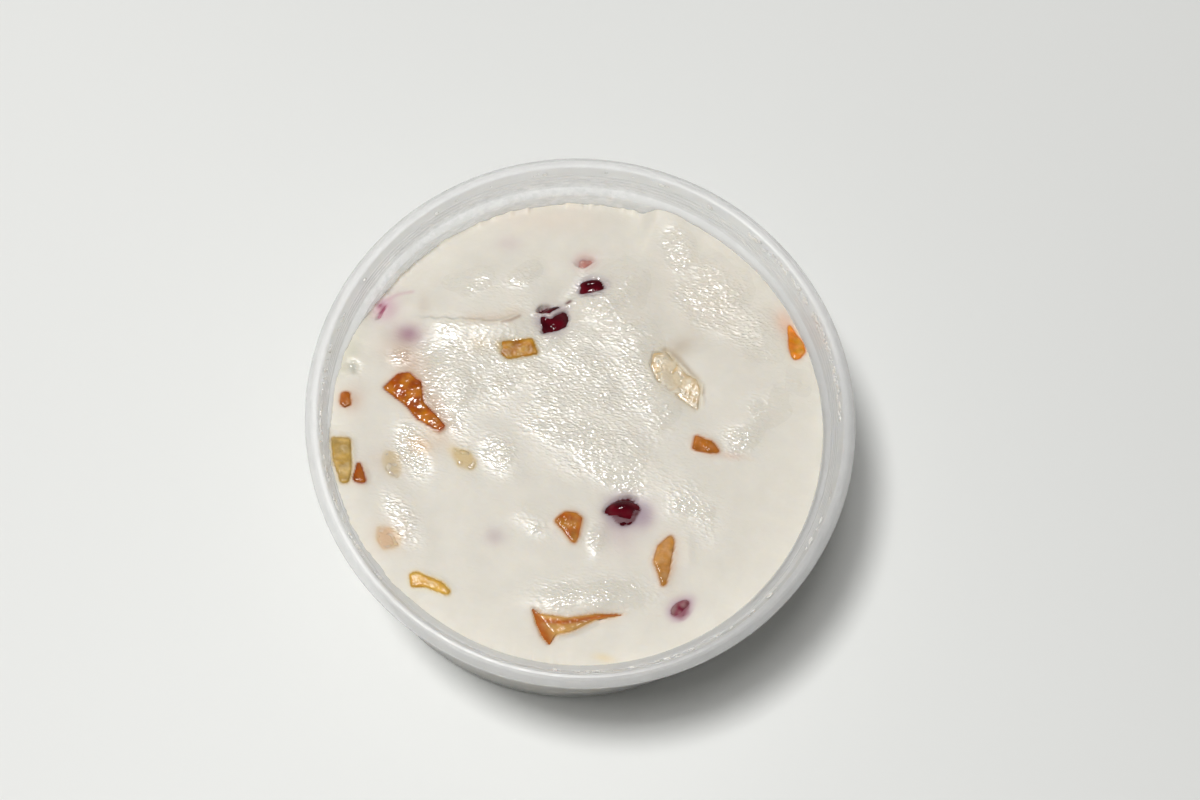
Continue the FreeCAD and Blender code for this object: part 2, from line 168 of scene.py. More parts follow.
def hashed(ix, iy, seed):
    """A repeatable number from 0 to 1 for each whole-number place."""
    mixed = (ix.astype(np.int64) * 73856093) ^ (iy.astype(np.int64) * 19349663) ^ (seed * 83492791)
    mixed = (mixed & 0xFFFFFFFF).astype(np.uint64)
    mixed = ((mixed ^ (mixed >> np.uint64(15))) * np.uint64(2246822519)) & np.uint64(0xFFFFFFFF)
    mixed = ((mixed ^ (mixed >> np.uint64(13))) * np.uint64(3266489917)) & np.uint64(0xFFFFFFFF)
    return ((mixed ^ (mixed >> np.uint64(16))) & np.uint64(0xFFFFF)).astype(float) / 0xFFFFF


def noise(x, y, seed):
    """Smooth gradient noise of about -1 to 1, with features one unit wide."""
    x0, y0 = np.floor(x), np.floor(y)
    fx, fy = x - x0, y - y0
    fade_x = fx ** 3 * (fx * (fx * 6 - 15) + 10)
    fade_y = fy ** 3 * (fy * (fy * 6 - 15) + 10)
    rows = []
    for dy in (0, 1):
        slopes = []
        for dx in (0, 1):
            angle = 2 * math.pi * hashed(x0 + dx, y0 + dy, seed)
            slopes.append((fx - dx) * np.cos(angle) + (fy - dy) * np.sin(angle))
        rows.append(slopes[0] + fade_x * (slopes[1] - slopes[0]))
    return 1.5 * (rows[0] + fade_y * (rows[1] - rows[0]))


def blotches(x, y, size, seed):
    """Noise with features of a size in millimetres."""
    return noise(x / size, y / size, seed)


def along_across(x, y, centre_x, centre_y, turn):
    """Places along and across a direction, which is turned from the x axis."""
    angle = math.radians(turn)
    dx, dy = x - centre_x, y - centre_y
    return (dx * math.cos(angle) + dy * math.sin(angle),
            dy * math.cos(angle) - dx * math.sin(angle))


def mound(x, y, centre_x, centre_y, half_length, half_width, turn, rise):
    """A soft oval rise, or a hollow where the rise is below zero."""
    along, across = along_across(x, y, centre_x, centre_y, turn)
    return rise * np.exp(-(along / half_length) ** 2 - (across / half_width) ** 2)


def stroke(x, y, pitch, depth, turn):
    """Waves left by a spoon, which wander a little from straight."""
    across = along_across(x, y, 0, 0, turn)[1]
    for place, (amount, length) in ((x, WANDER_X), (y, WANDER_Y)):
        across = across + amount * np.sin(2 * math.pi * place / length)
    return depth * np.sin(2 * math.pi * across / pitch)


def from_line(x, y, line):
    """Distance from a line of points, its side (1 is the right), and the way walked along it."""
    best = np.full(x.shape, np.inf)
    side = np.zeros(x.shape)
    place = np.zeros(x.shape)
    walked = 0.0
    for (ax, ay), (bx, by) in zip(line, line[1:]):
        length = math.hypot(bx - ax, by - ay)
        ux, uy = (bx - ax) / length, (by - ay) / length
        kept = np.clip((x - ax) * ux + (y - ay) * uy, 0, length)
        dx, dy = x - ax - kept * ux, y - ay - kept * uy
        distance = np.hypot(dx, dy)
        nearer = distance < best
        best = np.where(nearer, distance, best)
        side = np.where(nearer, np.where(ux * dy - uy * dx < 0, 1.0, -1.0), side)
        place = np.where(nearer, walked + kept, place)
        walked += length
    return best, side, place, walked


def fold(x, y, crest, rise, reach, drop):
    """A lip that falls off sharply on the left of its crest."""
    wobbly_x, wobbly_y = (place + FOLD_WOBBLE * blotches(x, y, WOBBLE_LENGTH, seed)
                          for place, seed in ((x, 13), (y, 14)))
    best, side, place, walked = from_line(wobbly_x, wobbly_y, crest)
    ends = smooth(place / FOLD_END_FADE) * smooth((walked - place) / FOLD_END_FADE)
    gentle = np.exp(-(best / reach) ** 2)
    sharp = smooth(1 - best / drop)
    return rise * ends * np.where(side > 0, gentle, sharp)


def level(x, y):
    """Height of the cream's surface, as in the CAD."""
    inside_r = BODY_TOP_R - WALL
    r = np.hypot(x, y)
    from_wall = np.maximum(0.0, inside_r - r)
    azimuth = np.degrees(np.arctan2(x, y))
    height = CREAM_AT_WALL + CREAM_CROWN * (1 - np.minimum(1.0, r / inside_r) ** 2)
    scoop = smooth((azimuth - SCOOP_FROM) / SCOOP_SOFT) * smooth((SCOOP_TO - azimuth) / SCOOP_SHARP)
    height = height - SCOOP_DEPTH * scoop * np.exp(-(from_wall / SCOOP_REACH) ** 1.5)
    heap = np.exp(-((azimuth - HEAP_MIDDLE) / HEAP_SPREAD) ** 2)
    height += HEAP_RISE * heap * np.exp(-(from_wall / HEAP_REACH) ** 2)
    for shape in STROKES:
        height += STROKE_SHARE * smooth(from_wall / STROKE_CALM) * stroke(x, y, *shape)
    for shape in MOUNDS:
        height += mound(x, y, *shape)
    for shape in FOLDS:
        height += fold(x, y, *shape)
    return height


def wrinkled(x, y):
    """How wrinkled and wet the surface is, from 0 to 1."""
    share = np.zeros(x.shape)
    for *shape, strength in WRINKLED:
        share = np.maximum(share, mound(x, y, *shape, min(strength, 1.0)))
    return np.clip(share * WET_GAIN * (0.75 + 0.5 * blotches(x, y, WET_PATCH, 41)), 0.0, 1.0)


def ridges(x, y, seed):
    """Sharp crests and round valleys, from -0.5 to 0.5."""
    return 0.5 - np.minimum(1.0, 1.6 * np.abs(noise(x, y, seed)))


def wrinkles(x, y):
    """Fine relief: short ridges along the strokes, where it is wrinkled."""
    bend = 1.8 * blotches(x, y, 11.0, 3)
    along, across = along_across(x, y, 0, 0, WRINKLE_TURN)
    across = across + bend + 0.5 * blotches(x, y, 3.5, 4)
    height = wrinkled(x, y) * (RIDGE_RISE * ridges(along / RIDGE_LENGTH, across / RIDGE_PITCH, 5)
                               + GRAIN_RISE * blotches(x, y, GRAIN_SIZE, 7))
    for centre_x, centre_y, half_length, half_width, turn, strength in WRINKLED:
        shift = FACING_SHIFT * half_width
        height += strength * FACING_RISE * mound(x, y, centre_x + FACING[0] * shift,
                                                 centre_y + FACING[1] * shift,
                                                 half_length, half_width, turn, 1.0)
    for rise, length, seed in SWELLS:
        height = height + rise * blotches(x, y, length, seed)
    return height


# ------------------------------------------------------------ tub walls ----
def body_r(z):
    """Outside radius of the tub's body at height z."""
    return BODY_BASE_R + (BODY_TOP_R - BODY_BASE_R) * z / LEDGE_LOW


def inner_r(z):
    """Inside radius of the tub at height z, above the floor's corner."""
    ledge_low = LEDGE_LOW + WALL / 2
    ledge_top = ledge_low + LEDGE_RISE
    low_r = body_r(ledge_low) - WALL
    collar_foot = BODY_TOP_R + LEDGE_WIDTH - WALL
    collar_rate = (COLLAR_TOP_R - BODY_TOP_R - LEDGE_WIDTH) / (RIM_UNDER - LEDGE_LOW - LEDGE_RISE)
    return np.where(z < ledge_low, body_r(z) - WALL,
                    np.where(z < ledge_top, low_r + (z - ledge_low) / LEDGE_RISE * LEDGE_WIDTH,
                             collar_foot + collar_rate * (z - LEDGE_LOW - LEDGE_RISE)))


# --------------------------------------------------------------- meshes ----
def mesh_object(name, vertices, faces, smooth_faces=True):
    """An object from vertices in millimetres."""
    mesh = bpy.data.meshes.new(name)
    mesh.from_pydata((np.asarray(vertices, float) * MM).tolist(), [], [tuple(f) for f in faces])
    mesh.validate()
    if smooth_faces:
        mesh.polygons.foreach_set("use_smooth", [True] * len(mesh.polygons))
    mesh.update()
    piece = bpy.data.objects.new(name, mesh)
    bpy.context.scene.collection.objects.link(piece)
    return piece


def coordinates(piece):
    """Vertices of a piece as an array in millimetres."""
    flat = np.zeros(len(piece.data.vertices) * 3, np.float32)
    piece.data.vertices.foreach_get("co", flat)
    return flat.reshape(-1, 3).astype(float) / MM


def set_coordinates(piece, points):
    piece.data.vertices.foreach_set("co", (points * MM).astype(np.float32).ravel())
    piece.data.update()


def set_colours(piece, name, colours):
    """A colour for each vertex, as an attribute that materials read."""
    attribute = piece.data.color_attributes.new(name, "FLOAT_COLOR", "POINT")
    values = np.ones((len(colours), 4), np.float32)
    values[:, :3] = colours
    attribute.data.foreach_set("color", values.ravel())


def set_values(piece, name, values):
    attribute = piece.data.attributes.new(name, "FLOAT", "POINT")
    attribute.data.foreach_set("value", np.asarray(values, np.float32))


# ---------------------------------------------------------------- fruit ----
FRUIT_NODES = [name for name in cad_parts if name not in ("tub", "cream")]
REMESH_MM = 0.26
WELD = 1e-7                # in metres
SOFTEN, SOFTEN_TIMES = 0.5, 4
LUMPS, GRAIN = (0.13, 2.4), (0.04, 0.9)            # height and size on the fruit's faces


def detailed_copy(node):
    """A closed, evenly divided copy of a CAD node, with softened edges."""
    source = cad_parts[node]
    work = bpy.data.objects.new("work", source.data.copy())
    bpy.context.scene.collection.objects.link(work)
    welded = bmesh.new()
    welded.from_mesh(work.data)
    bmesh.ops.remove_doubles(welded, verts=welded.verts, dist=WELD)
    welded.to_mesh(work.data)
    welded.free()
    remesh = work.modifiers.new("remesh", "REMESH")
    remesh.mode = "VOXEL"
    remesh.voxel_size = REMESH_MM * MM
    soften = work.modifiers.new("soften", "SMOOTH")
    soften.factor = SOFTEN
    soften.iterations = SOFTEN_TIMES
    shaped = work.evaluated_get(bpy.context.evaluated_depsgraph_get())
    mesh = bpy.data.meshes.new_from_object(shaped)
    mesh.materials.clear()
    for name in [a.name for a in mesh.attributes if not a.is_required and not a.name.startswith(".")]:
        mesh.attributes.remove(mesh.attributes[name])
    mesh.polygons.foreach_set("use_smooth", [True] * len(mesh.polygons))
    piece = bpy.data.objects.new(node + "_look", mesh)
    bpy.context.scene.collection.objects.link(piece)
    bpy.data.objects.remove(work)
    return piece


def roughen(piece):
    """Moves vertices along their normals by lumps and finer grain."""
    points = coordinates(piece)
    normals = np.zeros(len(points) * 3, np.float32)
    piece.data.vertices.foreach_get("normal", normals)
    normals = normals.reshape(-1, 3)
    shift = np.array([sum(height * point_noise.noise(Vector(p / size)) for height, size in (LUMPS, GRAIN))
                      for p in points])
    set_coordinates(piece, points + normals * shift[:, None])


# Pieces that cream has closed over, and how far they lie below their solids.
SUNK = {"red_seed_3": 0.7, "pale_chunk_1": 0.15, "pale_chunk_2": 0.3, "pale_chunk_3": 0.4,
        "tan_chunk_3": 0.3}

pieces = {}
for node in FRUIT_NODES:
    pieces[node] = detailed_copy(node)
    set_coordinates(pieces[node], coordinates(pieces[node]) - (0, 0, SUNK.get(node, 0)))
    roughen(pieces[node])


# ----------------------------------------------------- fruit seen from above
MAP_STEP = 0.2
MAP_HALF = 56.0
MAP_SIZE = int(2 * MAP_HALF / MAP_STEP) + 1
MAP_AXIS = np.linspace(-MAP_HALF, MAP_HALF, MAP_SIZE)
MAP_X, MAP_Y = np.meshgrid(MAP_AXIS, MAP_AXIS, indexing="ij")

# Outlines of what the cream leaves bare of each seed; chunks are bare all over their tops.
BARE = {
    "red_seed_1": [(-6.2, 29.6), (-4.2, 32.2), (-2.4, 33.0), (-0.3, 31.4), (-0.6, 31.0), (-3.1, 29.7),
                   (-5.6, 29.0)],
    "red_seed_2": [(-14.4, 23.1), (-13.5, 24.6), (-10.3, 25.1), (-10.1, 23.9), (-7.8, 24.6), (-6.9, 23.1),
                   (-7.1, 21.0), (-8.5, 19.6), (-9.9, 18.9), (-12.1, 18.1), (-12.3, 19.9), (-12.8, 21.7),
                   (-11.4, 22.6)],
    "red_seed_3": [(-48.0, 14.6), (-47.8, 16.6), (-47.1, 18.6), (-46.3, 19.6), (-46.7, 17.6), (-47.2, 15.2)],
    "red_seed_4": [(8.4, -18.2), (9.3, -16.4), (11.1, -14.8), (13.2, -13.9), (14.8, -14.1), (15.6, -15.4),
                   (15.8, -17.1), (15.0, -18.5), (13.2, -18.8), (11.2, -18.5), (9.4, -18.7)],
    "red_seed_5": [(26.8, -37.1), (27.3, -35.4), (28.6, -33.6), (30.2, -33.7), (29.6, -35.0), (28.2, -36.8),
                   (27.3, -37.4)],
    "red_seed_6": [(-8.3, 35.7), (-6.6, 35.9), (-4.9, 37.5), (-3.9, 37.6), (-5.2, 35.6), (-6.2, 35.0)],
}
# How much of a blurred outline the cream still covers: less for thin ends and small pieces.
EDGE_COVER = 0.33
EDGE_COVERS = {"caramel_wedge": 0.2, "amber_chunk_5": 0.22, "yellow_chunk_1": 0.25,
               "amber_chunk_2": 0.16, "amber_chunk_3": 0.16}
EDGE_SOFT = 0.45
# How ragged the cream's edge on a piece is: more on veiled pieces.
EDGE_RAGGED = 0.12
EDGES_RAGGED = {"pale_chunk_2": 0.5, "pale_chunk_3": 0.5, "tan_chunk_3": 0.45}
COVER_BLUR, EDGE_BLUR, HUG_BLUR = 0.3, 0.35, 0.25
FILM_THIN, FILM_SOFT, FILM_THICK = 0.25, 0.3, 0.5  # fruit under a thicker film isn't bare, nor hugged
STRAND_SOFT = 0.3
# Strands of cream that lie over fruit: their course, half width and rise over the fruit.
STRANDS = [
    ([(-14.6, 22.4), (-12.2, 22.3), (-11.0, 22.1), (-10.3, 23.2), (-9.4, 24.1), (-8.4, 25.4),
      (-6.8, 26.6)], 0.42, 0.45),
    ([(-8.4, 35.3), (-7.2, 34.8), (-5.9, 34.7), (-4.9, 35.6), (-3.9, 36.9)], 0.32, 0.4),
]
# Films of cream over bare fruit: x, y, half length, half width, turn, thickness of the film.
FILMS = [
    (17.4, 13.8, 3.4, 2.6, -50, 1.0),
    (15.6, 17.3, 1.6, 1.2, 0, 0.7),
    (-23.0, -12.8, 5.0, 4.0, 0, 1.0),
    (-38.4, -16.2, 5.0, 4.5, 20, 1.0),
    (-35.0, -33.0, 5.0, 3.6, -15, 1.0),
    (-20.6, 13.2, 1.3, 1.8, 0, 0.7),
    (-35.5, -3.6, 2.4, 1.0, -52, 0.45),
    (16.0, -17.2, 1.9, 2.8, 15, 1.1),
    (-29.0, -7.5, 1.6, 1.2, 0, 0.5),
]


def top_map(piece):
    """Heights of a piece's top at the map's places, and -1 elsewhere."""
    points = coordinates(piece)
    tree = BVHTree.FromPolygons([Vector(p) for p in points], [tuple(f.vertices) for f in piece.data.polygons])
    low = np.floor((points.min(0)[:2] + MAP_HALF) / MAP_STEP).astype(int) - 1
    high = np.ceil((points.max(0)[:2] + MAP_HALF) / MAP_STEP).astype(int) + 2
    heights = np.full((high[0] - low[0], high[1] - low[1]), -1.0)
    down = Vector((0, 0, -1))
    for i in range(heights.shape[0]):
        for j in range(heights.shape[1]):
            x, y = MAP_AXIS[low[0] + i], MAP_AXIS[low[1] + j]
            hit = tree.ray_cast(Vector((x, y, TUB_TOP + 5)), down)[0]
            if hit is not None:
                heights[i, j] = hit.z
    whole = np.full((MAP_SIZE, MAP_SIZE), -1.0)
    whole[low[0]:high[0], low[1]:high[1]] = heights
    return whole


def inside_outline(outline):
    """1 at the map's places inside a closed outline, and 0 outside."""
    crossings = np.zeros(MAP_X.shape, int)
    for (ax, ay), (bx, by) in zip(outline, outline[1:] + outline[:1]):
        if ay == by:
            continue
        between = (MAP_Y >= min(ay, by)) & (MAP_Y < max(ay, by))
        crossings += between & (MAP_X < ax + (MAP_Y - ay) * (bx - ax) / (by - ay))
    return (crossings % 2).astype(float)


def blurred(field, radius):
    """Gaussian blur of a map by a radius in millimetres."""
    sigma = radius / MAP_STEP
    reach = int(3 * sigma) + 1
    kernel = np.exp(-0.5 * (np.arange(-reach, reach + 1) / sigma) ** 2)
    kernel /= kernel.sum()
    for axis in (0, 1):
        padded = np.pad(field, [(reach, reach) if a == axis else (0, 0) for a in (0, 1)], mode="edge")
        field = sum(weight * (padded[k:k + MAP_SIZE] if axis == 0 else padded[:, k:k + MAP_SIZE])
                    for k, weight in enumerate(kernel))
    return field


def sample(field, x, y):
    """Values of a map at points in millimetres, between its grid places."""
    u = np.clip((x + MAP_HALF) / MAP_STEP, 0, MAP_SIZE - 1.001)
    v = np.clip((y + MAP_HALF) / MAP_STEP, 0, MAP_SIZE - 1.001)
    i, j = u.astype(int), v.astype(int)
    fu, fv = u - i, v - j
    return ((field[i, j] * (1 - fu) + field[i + 1, j] * fu) * (1 - fv)
            + (field[i, j + 1] * (1 - fu) + field[i + 1, j + 1] * fu) * fv)


STAIN_FOOT, STAIN_FADE = 36.0, 6.0                 # stains, fruit colour and painted shade fade out down the side of the cream
VEIL_DEPTH = 0.5           # thickness of cream that hides most of what is under it
FILM_DEPTH = 0.12          # thickness of cream that still lets a fruit's own colour through
LAP_REACH = 0.9            # how far out cream is drawn up to the edges of fruit
CALM_AT_WALL = 1.6         # how far from the wall the wrinkles begin

# Colour of each fruit through a film of cream: linear colour, blur radius, strength of its blur.
HALOS = {
    "red_seed_1": ((0.42, 0.36, 0.39), 0.6, 0.6),
    "red_seed_2": ((0.42, 0.35, 0.38), 0.6, 0.6),
    "red_seed_3": ((0.62, 0.40, 0.47), 0.8, 0.4),
    "red_seed_4": ((0.38, 0.30, 0.35), 0.8, 0.7),
    "red_seed_5": ((0.48, 0.32, 0.39), 0.6, 0.5),
    "red_seed_6": ((0.58, 0.38, 0.36), 0.6, 0.3),
    "amber": ((0.62, 0.34, 0.18), 0.9, 0.7),
    "caramel": ((0.62, 0.34, 0.18), 0.7, 0.6),
    "tan": ((0.62, 0.48, 0.26), 0.7, 0.6),
    "yellow": ((0.74, 0.58, 0.28), 0.6, 0.6),
    "pale": ((0.66, 0.56, 0.40), 1.2, 0.6),
}

# Flesh colour of each piece, its second colour, and how much of it cream veils.
FLESH = {
    "amber_chunk_1": ((0.34, 0.065, 0.002), (0.47, 0.15, 0.008), 0.02),
    "amber_chunk_2": ((0.44, 0.13, 0.009), (0.32, 0.08, 0.006), 0.04),
    "amber_chunk_3": ((0.30, 0.052, 0.002), (0.38, 0.10, 0.008), 0.02),
    "amber_chunk_4": ((0.47, 0.185, 0.022), (0.42, 0.085, 0.003), 0.04),
    "amber_chunk_5": ((0.48, 0.20, 0.030), (0.56, 0.27, 0.07), 0.08),
    "amber_chunk_6": ((0.68, 0.19, 0.004), (0.60, 0.28, 0.02), 0.05),
    "amber_chunk_7": ((0.48, 0.15, 0.008), (0.40, 0.13, 0.02), 0.03),
    "tan_chunk_1": ((0.48, 0.25, 0.030), (0.40, 0.15, 0.010), 0.03),
    "tan_chunk_2": ((0.44, 0.275, 0.070), (0.50, 0.34, 0.12), 0.0),
    "tan_chunk_3": ((0.66, 0.44, 0.28), (0.60, 0.40, 0.15), 0.3),
    "yellow_chunk_1": ((0.62, 0.36, 0.050), (0.56, 0.29, 0.03), 0.04),
    "pale_chunk_1": ((0.67, 0.55, 0.37), (0.60, 0.42, 0.20), 0.35),
    "pale_chunk_2": ((0.62, 0.46, 0.21), (0.56, 0.40, 0.26), 0.3),
    "pale_chunk_3": ((0.60, 0.48, 0.30), (0.54, 0.42, 0.32), 0.4),
    # the wedge's second colour is painted shade, laid along its back edge and down its left face
    "caramel_wedge": ((0.60, 0.33, 0.095), (0.42, 0.105, 0.006), 0.03),
    "red_seed": ((0.105, 0.002, 0.008), (0.045, 0.0008, 0.004), 0.0),
    "red_seed_3": ((0.42, 0.12, 0.20), (0.25, 0.03, 0.08), 0.25),
    "red_seed_5": ((0.24, 0.030, 0.065), (0.15, 0.012, 0.030), 0.20),
    "red_seed_6": ((0.46, 0.20, 0.16), (0.30, 0.06, 0.05), 0.2),
}

# Painted shade on a piece: streaks of its darker second colour, their course and half width.
SHADE_STREAKS = {
    "caramel_wedge": [
        # painted shade along the back edge
        ([(-2.4, -42.4), (0.2, -44.0), (4.7, -43.4), (8.1, -42.2), (13.7, -40.0), (18.4, -38.7)], 0.6),
        # painted shade down the left face
        ([(-2.2, -42.2), (-0.5, -44.7), (1.3, -46.8), (2.6, -48.4)], 1.5),
    ],
}


def flesh_of(node):
    """A piece's own entry, or the one for its kind."""
    return FLESH.get(node) or FLESH[node.rsplit("_", 1)[0]]


def halo_of(node):
    return HALOS.get(node) or HALOS[node.split("_")[0]]


film = sum(mound(MAP_X, MAP_Y, *shape) for shape in FILMS)
film = film * np.clip(0.85 + 0.9 * blotches(MAP_X, MAP_Y, 1.5, 35), 0, 1.5)
ragged = 0.5 * blotches(MAP_X, MAP_Y, 1.6, 31) + 0.35 * blotches(MAP_X, MAP_Y, 0.7, 33)
covered_by = {}
height_of = {}
fruit_weight = np.zeros(MAP_X.shape)
fruit_height = np.zeros(MAP_X.shape)
bare = np.zeros(MAP_X.shape)
hugged = np.zeros(MAP_X.shape)
for node, piece in pieces.items():
    heights = top_map(piece)
    covered = (heights > 0).astype(float)
    filled = np.where(heights > 0, heights, 0)
    near = blurred(covered, COVER_BLUR)
    covered_by[node] = near
    height_of[node] = np.where(near > 0.02, blurred(filled, COVER_BLUR) / np.maximum(near, 0.02), 0)
    fruit_weight += blurred(covered, LAP_REACH)
    fruit_height += blurred(filled, LAP_REACH)
    outline = inside_outline(BARE[node]) if node in BARE else covered
    edge = blurred(outline, EDGE_BLUR) + EDGES_RAGGED.get(node, EDGE_RAGGED) * ragged
    hugged = np.maximum(hugged, blurred(outline, HUG_BLUR) * (1 - smooth(film / FILM_THICK)))
    shown = smooth((edge - EDGE_COVERS.get(node, EDGE_COVER)) / EDGE_SOFT)
    bare = np.maximum(bare, shown * covered * (1 - smooth((film - FILM_THIN) / FILM_SOFT)))
strand = np.zeros(MAP_X.shape)
for line, half_width, rise in STRANDS:
    distance = from_line(MAP_X, MAP_Y, line)[0]
    strand = np.maximum(strand, rise * np.exp(-(distance / half_width) ** 2))
    bare *= smooth((distance - half_width) / STRAND_SOFT)
fruit_height /= np.maximum(fruit_weight, 1e-3)
near_fruit = np.max([covered_by[node] for node in pieces], axis=0)
top_height = np.max([np.where(covered_by[node] > 0.06, height_of[node], 0) for node in pieces], axis=0)

# Fruit that only shows through the cream, a grey-green patch by the left wall, and painted shade beside the
# dome: x, y, half length, half width, turn, colour, strength.
STAINS_AND_SHADE = [
    (-40.3, 12.1, 3.0, 2.4, 0, (0.40, 0.24, 0.29), 0.95),
    (-23.3, 37.8, 2.8, 2.2, 0, (0.60, 0.50, 0.50), 0.45),
    (-13.1, -28.2, 2.2, 2.0, 0, (0.50, 0.40, 0.40), 0.55),
    (-39.5, 6.5, 5.5, 3.2, -30, (0.56, 0.36, 0.24), 0.55),
    (-31.0, -2.5, 7.0, 2.0, -50, (0.58, 0.38, 0.26), 0.45),
    (-25.2, -11.9, 1.8, 1.1, -40, (0.74, 0.54, 0.22), 0.5),
    (-32.1, -11.9, 2.0, 1.3, -10, (0.76, 0.50, 0.26), 0.45),
    (-29.5, -9.0, 3.5, 2.0, -35, (0.66, 0.48, 0.30), 0.4),
    (-33.0, -11.6, 3.0, 2.0, -20, (0.72, 0.50, 0.30), 0.45),
    (-39.5, -17.0, 4.5, 3.5, 0, (0.60, 0.50, 0.44), 0.35),
    (-48.3, -5.0, 2.2, 3.0, 0, (0.60, 0.44, 0.34), 0.5),
    (-24.5, 13.0, 3.0, 1.8, 10, (0.66, 0.54, 0.36), 0.45),
    (17.0, -17.5, 2.6, 3.0, 0, (0.30, 0.16, 0.26), 0.6),
    (12.5, -21.5, 5.0, 3.5, -60, (0.55, 0.42, 0.44), 0.45),
    (33.0, -0.6, 3.0, 0.9, 5, (0.62, 0.44, 0.34), 0.5),
    (39.6, 31.5, 2.2, 3.2, 30, (0.74, 0.42, 0.28), 0.55),
    (-46.0, 18.0, 3.0, 4.5, 0, (0.58, 0.42, 0.46), 0.4),
    (-5.8, 37.0, 2.6, 2.0, 30, (0.62, 0.44, 0.40), 0.45),
    (-16.0, 46.0, 12.0, 4.0, 10, (0.74, 0.62, 0.52), 0.35),
    (22.0, 33.0, 14.0, 10.0, 0, (0.74, 0.66, 0.56), 0.2),
    (14.5, -49.0, 2.2, 0.9, 0, (0.76, 0.60, 0.30), 0.5),
    # grey-green on the cream's edge by the left wall, beside the notch
    (-51.5, 5.5, 1.8, 5.0, -10, (0.56, 0.56, 0.42), 0.4),
    (17.5, 20.5, 4.5, 2.2, 50, (0.52, 0.42, 0.30), 0.5),
    # painted shade at the right foot of the dome over the seed
    (-38.5, 19.5, 1.6, 2.6, 10, (0.56, 0.48, 0.40), 0.4),
    (24.5, -26.0, 2.4, 5.5, 0, (0.66, 0.50, 0.38), 0.3),
    (-35.0, -33.0, 3.6, 3.2, 0, (0.70, 0.50, 0.40), 0.35),
]

# Painted shade in creases of the cream, in a notch and in a small hole, with fruit colour along some of them:
# their course, half width, colour, strength.
CREASE_SHADE_AND_TINT = [
    # painted shade: a dark line at the foot of the fold's steep side
    ([(-20.8, 18.7), (-19.2, 19.4), (-17.6, 21.0)], 0.35, (0.30, 0.17, 0.11), 0.6),
    # painted shade in the trough north of the fold, partly the tan of fruit beneath
    ([(-28.0, 18.2), (-25.0, 18.8), (-21.5, 19.6), (-18.5, 21.6)], 1.4, (0.62, 0.49, 0.37), 0.45),
    # the pink edge of a seed, where the film over it breaks
    ([(-46.6, 20.0), (-45.6, 21.2), (-43.9, 22.0), (-41.7, 22.6)], 0.5, (0.56, 0.34, 0.40), 0.4),
    # painted shade along the upper right edge of the hollow by the pale piece
    ([(14.8, 20.0), (18.3, 18.6), (22.9, 14.9), (24.5, 12.0)], 0.6, (0.42, 0.33, 0.22), 0.6),
    # painted shade in a small hole between the first two seeds, in a seed's dark red
    ([(-8.0, 26.4), (-7.5, 26.9)], 0.45, (0.14, 0.03, 0.03), 0.9),
    # painted shade in the notch by the left wall
    ([(-49.9, 1.2), (-50.4, 2.6)], 0.6, (0.42, 0.42, 0.36), 0.6),
]


def cream_colours(points):
    """Colour of the cream at each vertex: its own, stained by fruit in and under it, with painted shade in
    creases, a notch, a hole and beside a dome.
    """
    x, y, z = points.T
    mottled = 1 + 0.02 * blotches(x, y, 9.0, 21)
    colours = np.array(CREAM)[None, :] * mottled[:, None]

    def mix_in_colour(share, colour):
        share = np.clip(share, 0, 1)[:, None]
        return colours * (1 - share) + np.array(colour)[None, :] * share

    near_top = smooth((z - STAIN_FOOT) / STAIN_FADE)
    for *shape, colour, strength in STAINS_AND_SHADE:
        colours = mix_in_colour(near_top * mound(x, y, *shape, strength), colour)
    # painted shade along creases, in the notch and in the hole, with a seed's pink edge
    for line, half_width, colour, strength in CREASE_SHADE_AND_TINT:
        colours = mix_in_colour(near_top * strength * np.exp(-(from_line(x, y, line)[0] / half_width) ** 2), colour)
    for node in pieces:
        colour, radius, strength = halo_of(node)
        covered = smooth(1.6 * sample(covered_by[node], x, y)) * near_top
        patchy = np.clip(0.8 + 0.8 * blotches(x, y, 1.5, 23), 0, 1)
        thickness = np.maximum(0, z - sample(height_of[node], x, y))
        colours = mix_in_colour(near_top * strength * sample(blurred(covered_by[node], radius), x, y), colour)
        colours = mix_in_colour(covered * patchy * 0.85 * np.exp(-thickness / VEIL_DEPTH), colour)
        colours = mix_in_colour(covered * np.exp(-thickness / FILM_DEPTH), flesh_of(node)[0])
    return colours


# ---------------------------------------------------------------- cream ----
def disc_grid(columns):
    """A square grid drawn out to the unit disc, and the order of its outer vertices."""
    steps = np.linspace(-1, 1, columns + 1)
    a, b = np.meshgrid(steps, steps, indexing="ij")
    u = a * np.sqrt(1 - b * b / 2)
    v = b * np.sqrt(1 - a * a / 2)
    n = columns + 1
    index = np.arange(n * n).reshape(n, n)
    quads = np.stack([index[:-1, :-1], index[1:, :-1], index[1:, 1:], index[:-1, 1:]], -1).reshape(-1, 4)
    edge = np.concatenate([index[:-1, 0], index[-1, :-1], index[:0:-1, -1], index[0, :0:-1]])
    return u.ravel(), v.ravel(), quads, edge


def shore(x, y):
    """Unevenness of the cream along the wall, and its films that climb the wall of the scoop."""
    azimuth = np.arctan2(x, y)
    from_wall = BODY_TOP_R - WALL - np.hypot(x, y)
    uneven = sum(share * noise(azimuth * often, azimuth * 0 + 0.3, 61) for share, often in SHORE_WAVES)
    degrees = np.degrees(azimuth)
    scooped = smooth((degrees - SCOOP_FROM) / SCOOP_SOFT) * smooth((SCOOP_TO - degrees) / SCOOP_SHARP)
    climb = CLIMB * np.maximum(0, 0.25 + noise(azimuth * 13.0, azimuth * 0 + 0.6, 63)
                               + 0.6 * noise(azimuth * 37.0, azimuth * 0 + 0.6, 64))
    return (SHORE_RISE * uneven * np.exp(-from_wall / SHORE_REACH)
            + scooped * climb * np.exp(-(np.maximum(0, from_wall) / CLIMB_REACH) ** 2))


